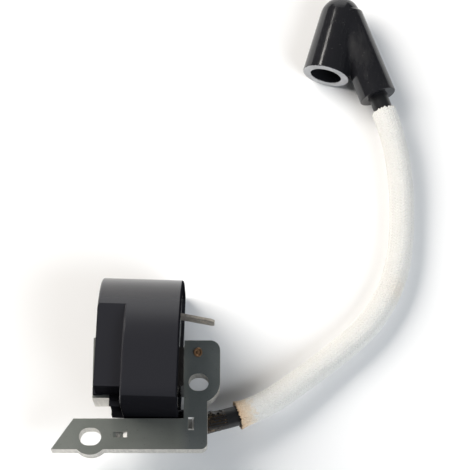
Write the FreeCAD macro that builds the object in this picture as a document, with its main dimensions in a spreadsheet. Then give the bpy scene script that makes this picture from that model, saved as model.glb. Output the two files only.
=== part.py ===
import FreeCAD, Part
import math
import os
import Sketcher

# Ignition coil (magneto ignition module) for a small two-stroke engine, in millimetres.
# Local frame of every shape: X along the mounting leg from its slanted tip, Y across the legs,
# Z up, zero at the middle of the lamination stack. The base placement moves that frame so that
# the origin lies under the middle of the module, on the surface that it rests on.

Vec = FreeCAD.Vector
doc = FreeCAD.newDocument("ignition_coil")
sheet = doc.addObject("Spreadsheet::Sheet", "Sizes")

SIZES = [
    # where the local frame lies in the part's frame
    ("frame_x", -28.55), ("frame_y", -29.894), ("frame_up", 20),
    # laminated frame: mounting leg and column
    ("stack", 6.7), ("leg_wide", 10.6), ("tip_slant", 7.4), ("frame_long", 52.8),
    ("column_left", 44.8), ("column_right", 57.1), ("column_top", 37.9), ("column_round", 3.4),
    ("corner_round", 2.2), ("slot_wide", 6), ("slot_x", 13.2), ("slot_y", 4.35),
    ("slot_long", 7.5), ("slot_pad", 6.2), ("upper_slot_x", 49.8), ("upper_slot_y", 23.16),
    ("upper_slot_long", 6.9), ("upper_slot_pad", 7.3), ("pad_trim_wide", 4),
    # interlock dimples in the leg: one along it, one across it
    ("dimple_deep", 1), ("leg_dimple_left", 20.9), ("leg_dimple_right", 25.7),
    ("leg_dimple_front", 4.1), ("leg_dimple_back", 6), ("corner_dimple_left", 46.3),
    ("corner_dimple_right", 48.3), ("corner_dimple_front", 6.6), ("corner_dimple_back", 11),
    # stake through the column, and the strip that it clamps
    ("stake_x", 49.5), ("stake_y", 33.6), ("stake_r", 1.3), ("stake_head_r", 1.6),
    ("stake_head", 0.5), ("strip_thick", 0.4), ("strip_edge", 2.2), ("strip_front", 2),
    ("strip_tail_front", 0.9), ("strip_back", 3.6), ("strip_buried", 1.2),
    # pole core through the coil
    ("pole_left", 13.9), ("pole_right", 20), ("pole_front", 16.9), ("pole_back", 37.9),
    ("pole_thick", 13.4), ("limb_front", 22.9), ("limb_back", 31.9), ("tenon_long", 1.2),
    ("tenon_thick", 4.64), ("tenon_front", 28), ("tenon_back", 32),
    # case
    ("case_left", 15.4), ("case_step", 24.5), ("case_right", 43.5), ("case_front", 11.4),
    ("case_left_front", 17.65), ("nose_low_front", 25.5), ("case_back", 61.2), ("case_top", 24),
    ("case_left_top", 20), ("case_base", -20), ("case_round", 6), ("case_arc", 30),
    ("case_base_round", 3), ("case_edge", 0.8), ("case_wall", 1.8), ("case_turn", -1.8),
    ("turn_x", 31), ("turn_y", 28), ("potting_down", 0.9), ("collar_wall", 2.2),
    ("tunnel_wall", 0.8), ("tunnel_gap", 0.1), ("tower_r", 5.5), ("tower_long", 13),
    ("ht_pin_long", 7.0), ("ledge_front", 13.7), ("ledge_left", 20), ("ledge_top", 7),
    ("ledge_base", -12), ("rib_inset", 0.6), ("rib_back", 2), ("rib_up", 0.8), ("lip_inset", 0.3),
    ("lip_front", 1), ("lip_back", 5.5), ("lip_tall", 2.2),
    # windings on the limb
    ("bobbin_wall", 0.7), ("bobbin_y", 11.2), ("bobbin_z", 13.4), ("bobbin_flange", 0.9),
    ("charge_left", 26.9), ("charge_right", 34), ("trigger_left", 31.6), ("coil_left", 34.3),
    ("coil_right", 42.3), ("primary_build", 0.9), ("primary_flange", 0.5),
    ("segment_flange", 0.6), ("winding_down", 0.6),
    # electronics in the rear of the case
    ("board_y", 42.2), ("board_thick", 1.6), ("board_left", 19), ("board_right", 41.9),
    ("board_low", -15), ("board_high", 12), ("capacitor_long", 12.5), ("capacitor_deep", 6),
    ("capacitor_tall", 11), ("board_margin", 1), ("thyristor_x", 23.5), ("thyristor_r", 2.3),
    ("thyristor_tall", 4.8), ("thyristor_low", -12), ("thyristor_flat", 1), ("diode_x", 21),
    ("diode_r", 1.35), ("diode_long", 5.2), ("diode_low", 1), ("diode_pitch", 4.4),
    ("resistor_x", 30), ("resistor_up", 3.2), ("resistor_r", 1.2), ("resistor_long", 6.3),
    ("tab_x", 40), ("tab_y", 45.3), ("tab_low", 6.7), ("tab_wide", 6.3), ("tab_thick", 0.8),
    ("tab_corner", 1), ("tab_hole", 0.9), ("tab_hole_in", 4), ("tab_turn", -11),
    ("tab_long", 15.5),
    # high-tension lead, sleeve and boot
    ("lead_r", 3.5), ("conductor_r", 0.8), ("root_long", 9.5), ("sleeve_r", 4.9),
    ("sleeve_bore", 3.7), ("sleeve_from", 13.6), ("sleeve_to_end", 5.8),
    ("boot_mouth_r", 8.6), ("boot_dome_r", 7.55), ("boot_bore", 5.7), ("boot_bore_deep", 8),
    ("spring_way_r", 5.2), ("spring_way_deep", 21), ("boot_lead_r", 6.8),
    ("boot_plug_long", 26.9), ("boot_lead_long", 36.5), ("dome_in", 3), ("boot_angle", 34.2),
    ("lead_fit", 0.05), ("lead_end_long", 18), ("lead_end_gap", 0.3), ("pin_from", 14),
    ("pin_gap", 0.1), ("pin_to", 27.6), ("spring_r", 3.6), ("spring_wire", 0.55),
    ("spring_pitch", 1.7), ("spring_from", 8.8), ("spring_long", 10.2),
]

for row, (alias, size) in enumerate(SIZES, start=1):
    sheet.set("A%d" % row, alias)
    sheet.set("B%d" % row, str(size))
    sheet.setAlias("B%d" % row, alias)
doc.recompute()

CELLS = {alias: float(sheet.get(alias)) for alias, _ in SIZES}

# Middle line of the free lead, from the tower's mouth to the boot, in the local frame.
LEAD_ROUTE = [
    (50.0, 11.4, -9.2), (66.7, 13.4, -9.2), (93.0, 33.3, -14.3), (111.0, 48.5, -15.05),
    (120.3, 66.5, -15.05), (122.8, 86.0, -15.05), (122.3, 106.0, -13.6),
    (118.9, 122.3, -11.35), (114.7, 133.8, -11.35),
]
UP = (0, 0, 1)
PARTS = []


def value(expression):
    """The number that an expression of the sheet's aliases gives."""
    return float(sheet.evalExpression(expression.replace("Sizes.", "")))


def cells(expression):
    """Write sheet aliases as references that another object's expression can use."""
    words = []
    word = ""
    for char in expression + " ":
        if char.isalnum() or char == "_":
            word += char
            continue
        words.append("Sizes." + word if word in CELLS else word)
        words.append(char)
        word = ""
    return "".join(words).strip()


def bind(obj, **expressions):
    for name, expression in expressions.items():
        obj.setExpression(name, cells(expression))


def base_placement():
    return FreeCAD.Placement(Vec(CELLS["frame_x"], CELLS["frame_y"], CELLS["frame_up"]),
                             FreeCAD.Rotation())


def turned_placement():
    """The case sits a little askew on the core, turned about a vertical line."""
    turn = FreeCAD.Rotation(Vec(*UP), CELLS["case_turn"])
    centre = Vec(CELLS["turn_x"], CELLS["turn_y"], 0)
    return base_placement().multiply(FreeCAD.Placement(Vec(0, 0, 0), turn, centre))


def keep(obj, label):
    """Name a finished sub-part; its label is its file's name."""
    obj.Label = label
    PARTS.append(obj)
    return obj


# ---------------------------------------------------------------- sketch and feature helpers
def new_body(name, placement=None):
    body = doc.addObject("PartDesign::Body", name)
    body.Placement = placement or base_placement()
    return body


def new_sketch(body, name, role="XY_Plane", offset=None):
    sketch = body.newObject("Sketcher::SketchObject", name)
    plane = [f for f in body.Origin.OriginFeatures if f.Role == role][0]
    sketch.AttachmentSupport = [(plane, "")]
    sketch.MapMode = "FlatFace"
    if offset is not None:
        sketch.setExpression(".AttachmentOffset.Base.z", cells(offset))
    return sketch


def polygon(sketch, corners):
    """A closed outline whose corners are bound to sheet expressions."""
    first = sketch.GeometryCount
    spots = [Vec(value(x), value(y), 0) for x, y in corners]
    count = len(spots)
    for i in range(count):
        sketch.addGeometry(Part.LineSegment(spots[i], spots[(i + 1) % count]), False)
    for i in range(count):
        here = first + i
        after = first + (i + 1) % count
        sketch.addConstraint(Sketcher.Constraint("Coincident", here, 2, after, 1))
    for i, (x, y) in enumerate(corners):
        for kind, expression, number in (("DistanceX", x, spots[i].x), ("DistanceY", y, spots[i].y)):
            index = sketch.addConstraint(Sketcher.Constraint(kind, -1, 1, first + i, 1, number))
            sketch.setExpression("Constraints[%d]" % index, cells(expression))


def rectangle(sketch, left, right, low, high):
    polygon(sketch, [(left, low), (right, low), (right, high), (left, high)])


def circle(sketch, x, y, radius):
    shape = Part.Circle(Vec(value(x), value(y), 0), Vec(*UP), value(radius))
    geometry = sketch.addGeometry(shape, False)
    for kind, expression in (("DistanceX", x), ("DistanceY", y)):
        number = value(expression)
        index = sketch.addConstraint(Sketcher.Constraint(kind, -1, 1, geometry, 3, number))
        sketch.setExpression("Constraints[%d]" % index, cells(expression))
    index = sketch.addConstraint(Sketcher.Constraint("Radius", geometry, value(radius)))
    sketch.setExpression("Constraints[%d]" % index, cells(radius))


def pad(body, sketch, length, midplane=False, backward=False):
    feature = body.newObject("PartDesign::Pad", sketch.Name + "_pad")
    feature.Profile = sketch
    feature.Midplane = midplane
    feature.Reversed = backward
    bind(feature, Length=length)
    doc.recompute()
    return feature


def pocket(body, sketch, depth, midplane=False, backward=False):
    before = body.Shape.Volume
    feature = body.newObject("PartDesign::Pocket", sketch.Name + "_cut")
    feature.Profile = sketch
    feature.Midplane = midplane
    feature.Reversed = backward
    bind(feature, Length=depth)
    doc.recompute()
    if body.Shape.Volume >= before - 1e-6:
        raise RuntimeError(feature.Name + " cuts nothing")
    return feature


def fillet(body, base, radius, picks):
    """Round the edges that the test picks."""
    names = ["Edge%d" % (i + 1) for i, edge in enumerate(base.Shape.Edges) if picks(edge)]
    feature = body.newObject("PartDesign::Fillet", base.Name + "_round")
    feature.Base = (base, names)
    bind(feature, Radius=radius)
    doc.recompute()
    return feature


def upright_at(x, y):
    """Picks the vertical edges at one place."""
    def picks(edge):
        box = edge.BoundBox
        near = abs(box.Center.x - value(x)) < 0.01 and abs(box.Center.y - value(y)) < 0.01
        return near and box.ZLength > 1
    return picks


def along_x_at(y, z):
    """Picks the edges that run along X at one place."""
    def picks(edge):
        box = edge.BoundBox
        near = abs(box.Center.y - value(y)) < 0.01 and abs(box.Center.z - value(z)) < 0.01
        return near and box.XLength > 1
    return picks


def block(name, left, right, front, back, low, high, placement=None):
    """A plain box between six bound faces."""
    box = doc.addObject("Part::Box", name)
    bind(box, Length="(%s) - (%s)" % (right, left), Width="(%s) - (%s)" % (back, front),
         Height="(%s) - (%s)" % (high, low))
    box.Placement = (placement or base_placement()).multiply(
        FreeCAD.Placement(Vec(value(left), value(front), value(low)), FreeCAD.Rotation()))
    return box


def rod(name, radius, length, start, direction):
    """A cylinder from a start point along a direction, both in the local frame."""
    shape = doc.addObject("Part::Cylinder", name)
    bind(shape, Radius=radius, Height=length)
    turn = FreeCAD.Rotation(Vec(*UP), Vec(*direction))
    shape.Placement = base_placement().multiply(FreeCAD.Placement(Vec(*start), turn))
    return shape


def joined(name, shapes):
    fuse = doc.addObject("Part::MultiFuse", name)
    fuse.Shapes = shapes
    fuse.Refine = True
    return fuse


def cut(name, base, tool):
    shape = doc.addObject("Part::Cut", name)
    shape.Base = base
    shape.Tool = tool
    shape.Refine = True
    return shape


def common(name, base, tool):
    shape = doc.addObject("Part::Common", name)
    shape.Base = base
    shape.Tool = tool
    return shape


def feature_from(name, shape):
    """A sub-part whose shape Part's own functions make, in the local frame."""
    feature = doc.addObject("Part::Feature", name)
    feature.Shape = shape
    feature.Placement = base_placement()
    return feature


# ---------------------------------------------------------------- laminated frame
def slot(body, name, x, y, long_name):
    """A slotted hole along X through the stack."""
    reach = "(%s - slot_wide) / 2" % long_name
    middle = new_sketch(body, name + "_middle")
    rectangle(middle, x + " - " + reach, x + " + " + reach, y + " - slot_wide / 2",
              y + " + slot_wide / 2")
    pocket(body, middle, "stack + 2", midplane=True)
    ends = new_sketch(body, name + "_ends")
    circle(ends, x + " - " + reach, y, "slot_wide / 2")
    circle(ends, x + " + " + reach, y, "slot_wide / 2")
    return pocket(body, ends, "stack + 2", midplane=True)


def make_core_frame():
    body = new_body("core_frame")
    outline = new_sketch(body, "frame_outline")
    polygon(outline, [
        ("0", "0"), ("frame_long", "0"), ("frame_long", "upper_slot_y"),
        ("column_right", "upper_slot_y"), ("column_right", "column_top"),
        ("column_left", "column_top"), ("column_left", "leg_wide"), ("tip_slant", "leg_wide")])
    pad(body, outline, "stack", midplane=True)
    pads = new_sketch(body, "slot_pads")
    circle(pads, "slot_x", "slot_y", "slot_pad")
    circle(pads, "upper_slot_x", "upper_slot_y", "upper_slot_pad")
    pad(body, pads, "stack", midplane=True)
    trim = new_sketch(body, "pad_trim")
    rectangle(trim, "column_left - pad_trim_wide", "column_left", "leg_wide", "column_top")
    last = pocket(body, trim, "stack + 2", midplane=True)
    last = fillet(body, last, "column_round", upright_at("column_right", "column_top"))
    fillet(body, last, "corner_round", upright_at("frame_long", "0"))
    slot(body, "leg_slot", "slot_x", "slot_y", "slot_long")
    slot(body, "column_slot", "upper_slot_x", "upper_slot_y", "upper_slot_long")
    hole = new_sketch(body, "stake_hole")
    circle(hole, "stake_x", "stake_y", "stake_r")
    pocket(body, hole, "stack + 2", midplane=True)
    notch = new_sketch(body, "tenon_notch")
    rectangle(notch, "column_left", "column_left + tenon_long", "tenon_front", "tenon_back")
    pocket(body, notch, "tenon_thick", midplane=True)
    dimples = new_sketch(body, "interlock_dimples", offset="stack / 2 - dimple_deep")
    for which in ("leg_dimple", "corner_dimple"):
        rectangle(dimples, which + "_left", which + "_right", which + "_front", which + "_back")
    pocket(body, dimples, "dimple_deep + 1", backward=True)
    return keep(body, "core_frame")


def make_pole_core():
    """T-shaped stack: a wide pole shoe and the limb that carries the coils."""
    body = new_body("pole_core")
    outline = new_sketch(body, "pole_outline")
    polygon(outline, [
        ("pole_left", "pole_front"), ("pole_right", "pole_front"), ("pole_right", "limb_front"),
        ("column_left", "limb_front"), ("column_left", "limb_back"),
        ("pole_right", "limb_back"), ("pole_right", "pole_back"), ("pole_left", "pole_back")])
    pad(body, outline, "pole_thick", midplane=True)
    tenon = new_sketch(body, "tenon")
    rectangle(tenon, "column_left", "column_left + tenon_long", "tenon_front", "tenon_back")
    pad(body, tenon, "tenon_thick", midplane=True)
    return keep(body, "pole_core")


def make_ground_parts():
    """Copper stake through the column, and the strip from the case that it clamps."""
    x = CELLS["stake_x"]
    y = CELLS["stake_y"]
    top = CELLS["stack"] / 2
    strip = value("-stack / 2 - strip_thick")
    low = strip - CELLS["stake_head"]
    shank = rod("stake_shank", "stake_r", "stack + strip_thick", (x, y, strip), UP)
    head = rod("stake_head_disc", "stake_head_r", "stake_head", (x, y, top), UP)
    foot = rod("stake_foot_disc", "stake_head_r", "stake_head", (x, y, low), UP)
    keep(joined("stake_solid", [shank, head, foot]), "ground_stake")
    eye = block("strip_eye", "stake_x - strip_edge", "stake_x + strip_edge",
                "stake_y - strip_front", "stake_y + strip_back",
                "-stack / 2 - strip_thick", "-stack / 2")
    tail = block("strip_tail", "case_right - strip_buried", "stake_x",
                 "stake_y + strip_tail_front", "stake_y + strip_back",
                 "-stack / 2 - strip_thick", "-stack / 2")
    hole = rod("strip_hole", "stake_r", "strip_thick + 2", (x, y, strip - 1), UP)
    return keep(cut("strip_solid", joined("strip_bar", [eye, tail]), hole), "ground_strip")


# ---------------------------------------------------------------- case
def case_profile(name, left, right, inset, rounded):
    """The case's section along X: flat top, front corner round and the large rear arc."""
    body = new_body(name, turned_placement())
    outline = new_sketch(body, name + "_section", "YZ_Plane", left)
    front = "case_front + " + inset
    back = "case_back - " + inset
    low = "case_base + " + inset
    top = "case_top - " + inset
    rectangle(outline, front, back, low, top)
    solid = pad(body, outline, "(%s) - (%s)" % (right, left))
    solid = fillet(body, solid, "case_arc - " + inset, along_x_at(back, top))
    solid = fillet(body, solid, "case_round - " + inset, along_x_at(front, top))
    solid = fillet(body, solid, "case_base_round - " + inset, along_x_at(front, low))
    solid = fillet(body, solid, "case_base_round - " + inset, along_x_at(back, low))
    if rounded:
        fillet(body, solid, "case_edge", lambda edge: edge.BoundBox.XLength < 0.01)
    return body


def make_case():
    """Cup that opens towards the column, with a square tunnel for the limb."""
    turned = turned_placement()
    main = case_profile("case_main", "case_step", "case_right", "0", True)
    nose_full = case_profile("case_nose_full", "case_left", "case_step + 4", "0", True)
    nose_limit = block("case_nose_limit", "case_left - 1", "case_step + 5", "case_left_front",
                       "case_back + 1", "case_base - 1", "case_left_top", turned)
    nose_step = block("case_nose_step", "case_left - 1", "case_step - case_wall",
                      "case_left_front - 1", "nose_low_front", "case_base - 1",
                      "-pole_thick / 2", turned)
    nose = cut("case_nose_stepped", common("case_nose", nose_full, nose_limit), nose_step)
    ledge = block("case_ledge", "ledge_left", "case_step + 2", "ledge_front",
                  "case_left_front + 1", "ledge_base", "ledge_top", turned)
    rib = block("case_ledge_rib", "ledge_left + rib_inset", "case_step + 2",
                "ledge_front + rib_back", "case_left_front + 1", "ledge_base",
                "ledge_top + rib_up", turned)
    lip = block("case_lip", "pole_left + lip_inset", "case_left + 2", "pole_front + lip_front",
                "pole_front + lip_back", "pole_thick / 2", "pole_thick / 2 + lip_tall")
    start = tower_start()
    tower = rod("case_tower", "tower_r", "tower_long", tuple(start), tuple(lead_out()))
    outer = joined("case_outer", [main, nose, ledge, rib, lip])
    hollow = make_hollow("case_hollow", "case_right + 1")
    tunnel = block("case_tunnel", "case_left + 1", "case_right - potting_down",
                   "limb_front - tunnel_gap - tunnel_wall", "limb_back + tunnel_gap + tunnel_wall",
                   "-pole_thick / 2 - tunnel_gap - tunnel_wall",
                   "pole_thick / 2 + tunnel_gap + tunnel_wall")
    shell = joined("case_shell", [cut("case_cup", outer, hollow), tunnel, tower])
    limb = block("limb_way", "pole_left - 1", "case_right + 3", "limb_front - tunnel_gap",
                 "limb_back + tunnel_gap", "-pole_thick / 2 - tunnel_gap",
                 "pole_thick / 2 + tunnel_gap")
    shoe = block("shoe_way", "pole_left - 1", "pole_right + tunnel_gap",
                 "pole_front - 3", "pole_back + tunnel_gap",
                 "-pole_thick / 2 - tunnel_gap", "pole_thick / 2")
    back = lead_out().multiply(-(CELLS["root_long"]))
    bore = rod("lead_way", "lead_r", "root_long + 1", tuple(Vec(*LEAD_ROUTE[0]) + back),
               tuple(lead_out()))
    pin = make_ht_terminal()
    solid = cut("case_less_core", shell, joined("core_way", [limb, shoe]))
    solid = cut("case_less_lead", solid, bore)
    return keep(cut("case_solid", solid, pin), "coil_case")


def make_hollow(name, right):
    """The space inside the case's walls, up to a plane across its mouth."""
    wide = case_profile(name + "_main", "case_step + case_wall", right, "case_wall", False)
    low = case_profile(name + "_nose", "case_left + case_wall", "case_step + case_wall + 2",
                       "case_wall", False)
    limit = block(name + "_limit", "case_left", "case_step + 8", "case_left_front + case_wall",
                  "case_back", "case_base", "case_left_top - case_wall", turned_placement())
    shoe = block(name + "_shoe", "case_left - 1", "pole_right + tunnel_wall", "pole_front - 4",
                 "pole_back + tunnel_wall", "-pole_thick / 2 - tunnel_wall",
                 "pole_thick / 2 + tunnel_wall")
    step = block(name + "_step", "case_left - 1", "case_step", "case_left_front - 1",
                 "nose_low_front + case_wall", "case_base - 1",
                 "case_wall - pole_thick / 2", turned_placement())
    above = cut(name + "_nose_high", common(name + "_nose_part", low, limit), shoe)
    return joined(name, [wide, cut(name + "_nose_low", above, step)])


def lead_out():
    """Direction in which the lead leaves the tower."""
    return (Vec(*LEAD_ROUTE[1]) - Vec(*LEAD_ROUTE[0])).normalize()


def tower_start():
    return Vec(*LEAD_ROUTE[0]) - lead_out().multiply(CELLS["tower_long"])


def make_ht_terminal():
    """Brass pin from the tower's blind end to the high-tension winding."""
    out = lead_out()
    across = Vec(-out.y, out.x, 0)
    behind = CELLS["root_long"] + CELLS["conductor_r"] + CELLS["lead_fit"]
    start = Vec(*LEAD_ROUTE[0]) - out * behind - across
    return rod("ht_pin", "conductor_r", "ht_pin_long", tuple(start), tuple(across))


# ---------------------------------------------------------------- windings
def ring(name, left, right, inner, outer):
    """A rectangular ring about the limb: inner and outer give half sizes in Y and Z."""
    middle = "(limb_front + limb_back) / 2"
    sides = []
    for half, (half_y, half_z) in enumerate((outer, inner)):
        slack = "0" if half == 0 else "1"
        sides.append(block("%s_%d" % (name, half), "%s - %s" % (left, slack),
                           "%s + %s" % (right, slack), "%s - (%s)" % (middle, half_y),
                           "%s + (%s)" % (middle, half_y), "-(%s)" % half_z, half_z))
    return cut(name, sides[0], sides[1])


LIMB_Y = "(limb_back - limb_front) / 2 + tunnel_gap + tunnel_wall"
LIMB_Z = "pole_thick / 2 + tunnel_gap + tunnel_wall"


def layer(*steps):
    """Half sizes in Y and Z that many steps out from the tunnel."""
    out = " + ".join(("0",) + steps)
    return (LIMB_Y + " + " + out, LIMB_Z + " + " + out)


FLANGE_EDGE = ("bobbin_y", "bobbin_z")
WINDING_EDGE = ("bobbin_y - winding_down", "bobbin_z - winding_down")
INNER_EDGE = layer("bobbin_wall", "primary_build")


def make_charge_coil():
    left = "charge_left"
    right = "charge_right"
    walls = [ring("charge_tube", left, right, layer(), layer("bobbin_wall"))]
    cheeks = [left, "trigger_left - bobbin_flange", right + " - bobbin_flange"]
    for i, start in enumerate(cheeks):
        walls.append(ring("charge_cheek_%d" % i, start, start + " + bobbin_flange", layer(),
                          FLANGE_EDGE))
    keep(joined("charge_bobbin_solid", walls), "charge_bobbin")
    keep(ring("charge_turns", left + " + bobbin_flange", "trigger_left - bobbin_flange",
              layer("bobbin_wall"), WINDING_EDGE), "charge_winding")
    keep(ring("trigger_turns", "trigger_left", right + " - bobbin_flange",
              layer("bobbin_wall"), WINDING_EDGE), "trigger_winding")


def make_primary():
    left = "coil_left"
    right = "coil_right"
    walls = [ring("primary_tube", left, right, layer(), layer("bobbin_wall"))]
    for i, start in enumerate((left, right + " - primary_flange")):
        walls.append(ring("primary_cheek_%d" % i, start, start + " + primary_flange", layer(),
                          INNER_EDGE))
    keep(joined("primary_bobbin_solid", walls), "primary_bobbin")
    keep(ring("primary_turns", left + " + primary_flange", right + " - primary_flange",
              layer("bobbin_wall"), INNER_EDGE), "primary_winding")


SEGMENTS = 4


def make_secondary():
    """Four chambers in series, so that the voltage between neighbours stays low."""
    left = "coil_left"
    tube_edge = layer("bobbin_wall", "primary_build", "bobbin_wall")
    walls = [ring("secondary_tube", left, "coil_right", INNER_EDGE, tube_edge)]
    pitch = "(coil_right - coil_left - segment_flange) / %d" % SEGMENTS
    for i in range(SEGMENTS + 1):
        start = "%s + %d * %s" % (left, i, pitch)
        walls.append(ring("secondary_cheek_%d" % i, start, start + " + segment_flange",
                          INNER_EDGE, FLANGE_EDGE))
    keep(joined("secondary_bobbin_solid", walls), "secondary_bobbin")
    turns = []
    for i in range(SEGMENTS):
        start = "%s + %d * %s" % (left, i, pitch)
        turns.append(ring("secondary_turns_%d" % i, start + " + segment_flange",
                          start + " + " + pitch, tube_edge, WINDING_EDGE))
    group = doc.addObject("Part::Compound", "secondary_turns")
    group.Links = turns
    keep(group, "secondary_winding")


# ---------------------------------------------------------------- electronics
def make_board():
    body = new_body("circuit_board")
    outline = new_sketch(body, "board_outline", "XZ_Plane", "-board_y")
    rectangle(outline, "board_left", "board_right", "board_low", "board_high")
    pad(body, outline, "board_thick", backward=True)
    return keep(body, "circuit_board")


def on_board(x, radius, up):
    """Where a round component's axis starts, so that it rests on the board's rear face."""
    return value(x), value("board_y + board_thick + " + radius), value(up)


def make_components():
    face = "board_y + board_thick"
    right = "board_right - board_margin"
    low = "board_low + board_margin"
    keep(block("capacitor_box", right + " - capacitor_long", right, face,
               face + " + capacitor_deep", low, low + " + capacitor_tall"), "storage_capacitor")
    can = rod("thyristor_round", "thyristor_r", "thyristor_tall",
              on_board("thyristor_x", "thyristor_r", "thyristor_low"), UP)
    flat = block("thyristor_front", "thyristor_x - thyristor_r - 1",
                 "thyristor_x + thyristor_r + 1", face, face + " + thyristor_flat",
                 "thyristor_low - 1", "thyristor_low + thyristor_tall + 1")
    keep(cut("thyristor_solid", can, flat), "thyristor")
    group = doc.addObject("Part::Compound", "diode_pair")
    group.Links = [rod("diode_%d" % i, "diode_r", "diode_long",
                       on_board("diode_x", "diode_r", "diode_low + %d * diode_pitch" % i),
                       (1, 0, 0)) for i in range(2)]
    keep(group, "rectifier_diodes")
    keep(rod("resistor_body", "resistor_r", "resistor_long",
             on_board("resistor_x", "resistor_r", "resistor_up"), (1, 0, 0)), "resistor")


def make_kill_terminal():
    """Blade for the stop-switch wire, set askew in the potting."""
    turn = FreeCAD.Placement(Vec(CELLS["tab_x"], CELLS["tab_y"], 0),
                             FreeCAD.Rotation(Vec(*UP), CELLS["tab_turn"]))
    body = new_body("kill_terminal", base_placement().multiply(turn))
    outline = new_sketch(body, "blade_outline", "XZ_Plane")
    polygon(outline, [
        ("0", "tab_low"), ("tab_long - tab_corner", "tab_low"),
        ("tab_long", "tab_low + tab_corner"), ("tab_long", "tab_low + tab_wide - tab_corner"),
        ("tab_long - tab_corner", "tab_low + tab_wide"), ("0", "tab_low + tab_wide")])
    pad(body, outline, "tab_thick", midplane=True)
    hole = new_sketch(body, "blade_hole", "XZ_Plane")
    circle(hole, "tab_long - tab_hole_in", "tab_low + tab_wide / 2", "tab_hole")
    pocket(body, hole, "tab_thick + 1", midplane=True)
    return keep(body, "kill_terminal")


def make_potting():
    """Resin that fills the case around everything inside it."""
    fill = make_hollow("fill", "case_right - potting_down")
    tunnel = doc.getObject("case_tunnel")
    shoe = doc.getObject("shoe_way")
    names = ("charge_bobbin", "charge_winding", "trigger_winding", "primary_bobbin",
             "primary_winding", "secondary_bobbin", "secondary_winding", "circuit_board",
             "storage_capacitor", "thyristor", "rectifier_diodes", "resistor",
             "kill_terminal", "ground_strip")
    inner = [obj for obj in PARTS if obj.Label in names]
    ways = [doc.getObject(name) for name in ("limb_way", "case_tower", "ht_pin")]
    inside = joined("potted_things", [tunnel, shoe] + ways + inner)
    collar = block("potting_collar", "case_right - potting_down - 0.5", "column_left",
                   "limb_front - collar_wall", "limb_back + collar_wall",
                   "-pole_thick / 2 - collar_wall", "pole_thick / 2 + collar_wall")
    limb = block("collar_way", "case_right - potting_down - 1", "column_left + 1", "limb_front",
                 "limb_back", "-pole_thick / 2", "pole_thick / 2")
    around_limb = cut("collar_ring", collar, joined("collar_cuts", [limb, tunnel] + inner))
    return keep(joined("potting_solid", [cut("potting_body", fill, inside), around_limb]),
                "potting_fill")


# ---------------------------------------------------------------- lead
RUN_SHARE = 0.45


def arc_radii(points):
    """An arc for each corner that takes the same share of the shorter run beside it."""
    radii = []
    for before, corner, after in zip(points, points[1:], points[2:]):
        run_in = corner - before
        run_out = after - corner
        half_turn = run_in.getAngle(run_out) / 2
        shorter = min(run_in.Length, run_out.Length)
        radii.append(RUN_SHARE * shorter / math.tan(half_turn))
    return radii


def route_wire(points, radii):
    """Straight runs joined by tangent arcs."""
    edges = []
    start = points[0]
    for i, radius in enumerate(radii):
        corner = points[i + 1]
        run_in = (corner - points[i]).normalize()
        run_out = (points[i + 2] - corner).normalize()
        half_turn = run_in.getAngle(run_out) / 2
        tangent = radius * math.tan(half_turn)
        arc_start = corner - run_in * tangent
        arc_end = corner + run_out * tangent
        inward = (run_out - run_in).normalize()
        arc_middle = corner + inward * (radius / math.cos(half_turn) - radius)
        edges.append(Part.LineSegment(start, arc_start).toShape())
        edges.append(Part.Arc(arc_start, arc_middle, arc_end).toShape())
        start = arc_end
    edges.append(Part.LineSegment(start, points[-1]).toShape())
    return Part.Wire(edges)


def swept(wire, radius):
    """A round bar along a wire."""
    start = wire.Vertexes[0].Point
    direction = wire.Edges[0].tangentAt(wire.Edges[0].FirstParameter)
    section = Part.Wire(Part.makeCircle(radius, start, direction))
    bar = wire.makePipeShell([section], True, True)
    ideal = math.pi * radius ** 2 * wire.Length
    print("swept bar r %.2f: length %.1f, volume %.4f of section x length"
          % (radius, wire.Length, bar.Volume / ideal))
    return bar


def boot_up():
    """Direction of the boot's lead socket, from its mouth inwards."""
    return (Vec(*LEAD_ROUTE[-1]) - Vec(*LEAD_ROUTE[-2])).normalize()


def make_lead():
    points = [Vec(*p) for p in LEAD_ROUTE]
    radii = arc_radii(points)
    print("lead radii", [round(r, 1) for r in radii])
    wire = route_wire(points, radii)
    back = points[0] - lead_out() * CELLS["root_long"]
    on = points[-1] + boot_up() * CELLS["pin_from"]
    core_wire = route_wire([back] + points[1:-1] + [on], radii)
    core_hole = swept(core_wire, CELLS["conductor_r"] + CELLS["lead_fit"])
    keep(feature_from("conductor", swept(core_wire, CELLS["conductor_r"])), "lead_conductor")
    insulation = swept(wire, CELLS["lead_r"])
    keep(feature_from("lead_tube", insulation.cut(core_hole)), "ht_lead")
    root = Part.makeCylinder(CELLS["lead_r"], CELLS["root_long"], back, lead_out())
    keep(feature_from("root", root.cut(core_hole)), "lead_root")
    end = Part.makeCylinder(CELLS["lead_r"], CELLS["lead_end_long"], points[-1], boot_up())
    hole = Part.makeCylinder(value("conductor_r + lead_fit"), value("lead_end_long + 2"),
                             points[-1] - boot_up(), boot_up())
    keep(feature_from("end", end.cut(hole)), "lead_end")
    return wire


def make_sleeve(wire):
    """Braided heat sleeve over the middle of the lead, open at both ends."""
    points = [Vec(*p) for p in LEAD_ROUTE]
    tube = swept(wire, CELLS["sleeve_r"]).cut(swept(wire, CELLS["sleeve_bore"]))
    wide = 4 * CELLS["sleeve_r"]
    tools = []
    starts = ((points[0] + lead_out() * CELLS["sleeve_from"], lead_out() * -1),
              (points[-1] - boot_up() * CELLS["sleeve_to_end"], boot_up()))
    for place, away in starts:
        tools.append(Part.makeCylinder(wide, 30, place, away))
    tube = tube.cut(tools[0]).cut(tools[1])
    return keep(feature_from("sleeve_tube", tube.Solids[0]), "heat_sleeve")


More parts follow.
